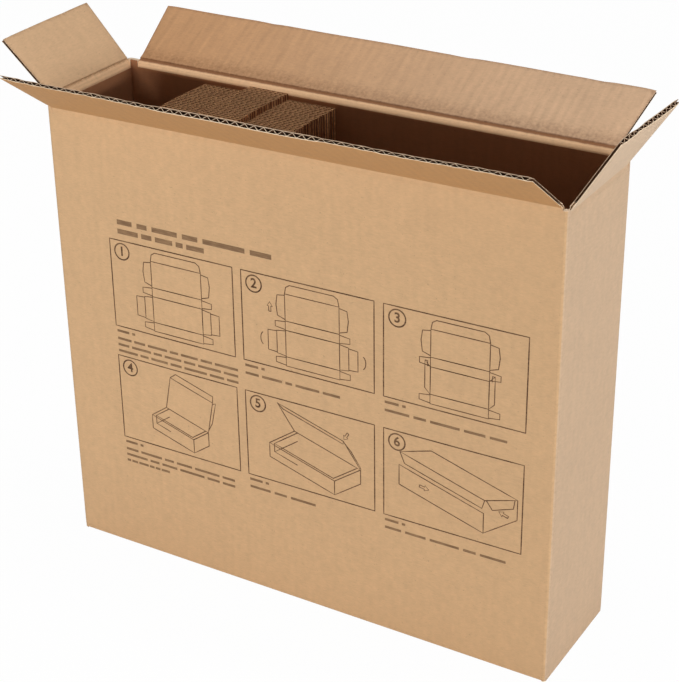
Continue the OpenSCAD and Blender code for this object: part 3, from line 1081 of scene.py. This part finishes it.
def arrow(x, z, turn_deg, size=7):
    """A small block arrow."""
    turn = math.radians(turn_deg)
    shape = [(-1, 0.25), (0.1, 0.25), (0.1, 0.6), (1, 0), (0.1, -0.6), (0.1, -0.25), (-1, -0.25)]
    return [closed([(x + size / 2 * (a * math.cos(turn) - b * math.sin(turn)),
                     z + size / 2 * (a * math.sin(turn) + b * math.cos(turn))) for a, b in shape])]


# %% Six figures, fitted to their frames
FIGURES = [flat_blank(0), flat_blank(1) + arrow(-33, 12, 90), flat_blank(2),
           tray(112, 48, 28, 13), tray(50, 64, 40, 12) + arrow(27, 20, -120),
           tray(13, 70, 42, 15) + arrow(-24, -4, -10) + arrow(33, -7, 160)]
DRAWN, FIGURE_ROOM = 1.17, 0.9
drawings = []
for (x, top), paths in zip(corners, FIGURES):
    heights = [b * MM for path in paths for a, b in path]
    size = min(DRAWN, FIGURE_ROOM * FRAME_H / (max(heights) - min(heights)))
    drawings += shifted(paths, x + FRAME_W * 0.54,
                        top - FRAME_H / 2 - size * (max(heights) + min(heights)) / 2, size)
RING_R, RING_IN = 7 * MM, (11.5 * MM, -9.5 * MM)
rings = [[(x + RING_IN[0] + RING_R * math.cos(t), top + RING_IN[1] + RING_R * math.sin(t))
          for t in np.linspace(0, 2 * math.pi, 33)] for x, top in corners]
print("drawn paths:", len(drawings), "rings:", len(rings))

# %% Ink laid on the front wall
INK_LIFT, INK_FILM, PRINT_TILT = 0.05 * MM, 0.04 * MM, 0.0075


def on_front(flat):
    """Bends flat print (across, up, height), a little askew, onto the front wall's swollen face."""
    across, up = flat[:, 0], flat[:, 1] + PRINT_TILT * flat[:, 0]
    belly = swell(across, up, half_l - CORNER_R, LONG_SWELL)
    return np.stack([across, -half_w - belly - INK_LIFT - flat[:, 2], up], axis=1)


def fine_path(path, step=12 * MM):
    """The same path with extra points, so that it can follow the swell."""
    points = [path[0]]
    for a, b in zip(path, path[1:]):
        count = max(1, math.ceil(math.dist(a, b) / step))
        points += [(a[0] + (b[0] - a[0]) * i / count, a[1] + (b[1] - a[1]) * i / count)
                   for i in range(1, count + 1)]
    return points


def numeral(number, x, z, height):
    """One plain number as flat points and faces."""
    text = bpy.data.curves.new("numeral", "FONT")
    text.body, text.size, text.offset = str(number), height * 1.4, 0.25 * MM
    text.align_x, text.align_y = "CENTER", "CENTER"
    text.extrude = INK_FILM / 2
    flat, faces = mesh_part(baked(bpy.data.objects.new("numeral", text)))
    return flat + (x, z, 0), faces


def printed(groups, ink):
    """Parts of print: each group of paths is drawn with a pen of its own width in mm."""
    parts = []
    for paths, width in groups:
        flat, faces = mesh_part(grow(
            printed_line, {"Width": width * MM, "Film": INK_FILM, "Finish": ink},
            path_mesh([fine_path(path) for path in paths])))
        parts.append((on_front(flat), faces, 0, 0.0))
    return parts


# %% Lines, numbers and word bars on the wall
NUMERAL_H = 8 * MM
line_parts = printed(((frame_paths, 1.0), (drawings, 0.8), (rings, 1.2)), line_ink)
for number, (x, top) in enumerate(corners, 1):
    flat, faces = numeral(number, x + RING_IN[0], top + RING_IN[1], NUMERAL_H)
    line_parts.append((on_front(flat), faces, 0, 0.0))
lines = make_piece("printed_guide_lines", line_parts, [line_ink])
bar_parts = printed(((heading, 4.2), (caption_bars, 2.2)), word_ink)
words = make_piece("printed_word_bars", bar_parts, [word_ink])
for print_piece in (lines, words):
    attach(print_piece, "carton")
    print(print_piece.name, len(print_piece.data.polygons), "faces")

# %% [markdown]
# ## Floor, light and camera
#
# The carton stands on white paper. Two wide lamps stand low, in front and to the right:
# they light the walls and leave the inside dark, as a deep box is; the inside paper's
# darker colour adds painted shade there. A third hangs straight above for the flaps, and a
# weak white world fills the rest. To the camera the floor is nearly all white light, so it
# stays white and still takes a faint shadow.


# %% Floor and world
def seen_directly(tree):
    """1 for a ray from the camera, a mirror or glass, 0 for light on its way round."""
    ray = [node(tree, "ShaderNodeLightPath", out=name) for name in
           ("Is Camera Ray", "Is Glossy Ray", "Is Transmission Ray")]
    return node(tree, "ShaderNodeClamp", {}, {"Value": ray[0] + ray[1] + ray[2]})


FLOOR_HALF, FLOOR_WHITE, FLOOR_GLOW = 6.0, 0.95, 0.98
floor_mesh = bpy.data.meshes.new("floor")
floor_mesh.from_pydata([(x * FLOOR_HALF, y * FLOOR_HALF, 0) for x, y in
                        ((-1, -1), (1, -1), (1, 1), (-1, 1))], [], [(0, 1, 2, 3)])
floor = add_object("floor", floor_mesh)
floor_paint = bpy.data.materials.new("white_floor")
floor_paint.use_nodes = True
tree = floor_paint.node_tree
tree.nodes.clear()
matt = node(tree, "ShaderNodeBsdfDiffuse", {}, {"Color": (FLOOR_WHITE,) * 3 + (1,)})
glow = node(tree, "ShaderNodeEmission", {}, {"Color": (1, 1, 1, 1), "Strength": 1.0})
both = node(tree, "ShaderNodeMixShader", {}, {0: seen_directly(tree) * FLOOR_GLOW, 1: matt, 2: glow})
tree.links.new(both.socket, tree.nodes.new("ShaderNodeOutputMaterial").inputs["Surface"])
floor_mesh.materials.append(floor_paint)

WORLD_LIGHT = 0.10
world = bpy.data.worlds.new("white_room")
bpy.context.scene.world = world
world.use_nodes = True
tree = world.node_tree
tree.nodes.clear()
level = WORLD_LIGHT + (1 - WORLD_LIGHT) * seen_directly(tree)
sky = node(tree, "ShaderNodeBackground", {}, {"Color": (1, 1, 1, 1), "Strength": level})
tree.links.new(sky.socket, tree.nodes.new("ShaderNodeOutputWorld").inputs["Surface"])


# %% Lamps
def lamp(name, azimuth, elevation, far, wide, high, share):
    """A soft box that gives share of the light a white room would, at the carton."""
    side, lift = math.radians(azimuth), math.radians(elevation)
    way = Vector((math.sin(side) * math.cos(lift), -math.cos(side) * math.cos(lift), math.sin(lift)))
    data = bpy.data.lights.new(name, "AREA")
    data.shape, data.size, data.size_y = "RECTANGLE", wide, high
    data.energy = share * (math.pi * far) ** 2
    made = add_object(name, data)
    made.location = Vector((0, 0, fold_h / 2)) + far * way
    made.rotation_euler = (-way).to_track_quat("-Z", "Y").to_euler()
    print(f"{name}: {data.energy:.0f} W")


lamp("front_lamp", azimuth=-4, elevation=14.8, far=7.0, wide=2.8, high=0.28, share=0.54)
lamp("right_lamp", azimuth=88, elevation=9.4, far=3.0, wide=1.2, high=0.16, share=0.485)
lamp("top_lamp", azimuth=180, elevation=87, far=2.6, wide=1.2, high=0.3, share=0.36)

# %% Camera
IMAGE_H = 682
AZIMUTH, ELEVATION, ROLL = (math.radians(a) for a in (31.02, 27.19, 0.81))
FOCAL_PX = 1779.0
EYE = Vector((0.6552, -1.0740, 0.8618))
backwards = Vector((math.sin(AZIMUTH) * math.cos(ELEVATION),
                    -math.cos(AZIMUTH) * math.cos(ELEVATION), math.sin(ELEVATION)))
level_right = (-backwards).cross(Vector((0, 0, 1))).normalized()
level_down = (-backwards).cross(level_right)
right = level_right * math.cos(ROLL) + level_down * math.sin(ROLL)
down = level_down * math.cos(ROLL) - level_right * math.sin(ROLL)
camera = bpy.data.cameras.new("camera")
camera.sensor_fit, camera.sensor_width, camera.sensor_height = "VERTICAL", 36.0, 36.0
camera.lens = FOCAL_PX * camera.sensor_height / IMAGE_H
camera_object = add_object("camera", camera)
turn = Matrix((right, -down, backwards)).transposed().to_4x4()
camera_object.matrix_world = Matrix.Translation(EYE) @ turn
bpy.context.scene.camera = camera_object
bpy.context.scene.view_settings.view_transform = "Standard"
print("camera lens:", round(camera.lens, 2), "mm")

# %% Bring the scene up to date
bpy.context.view_layer.update()
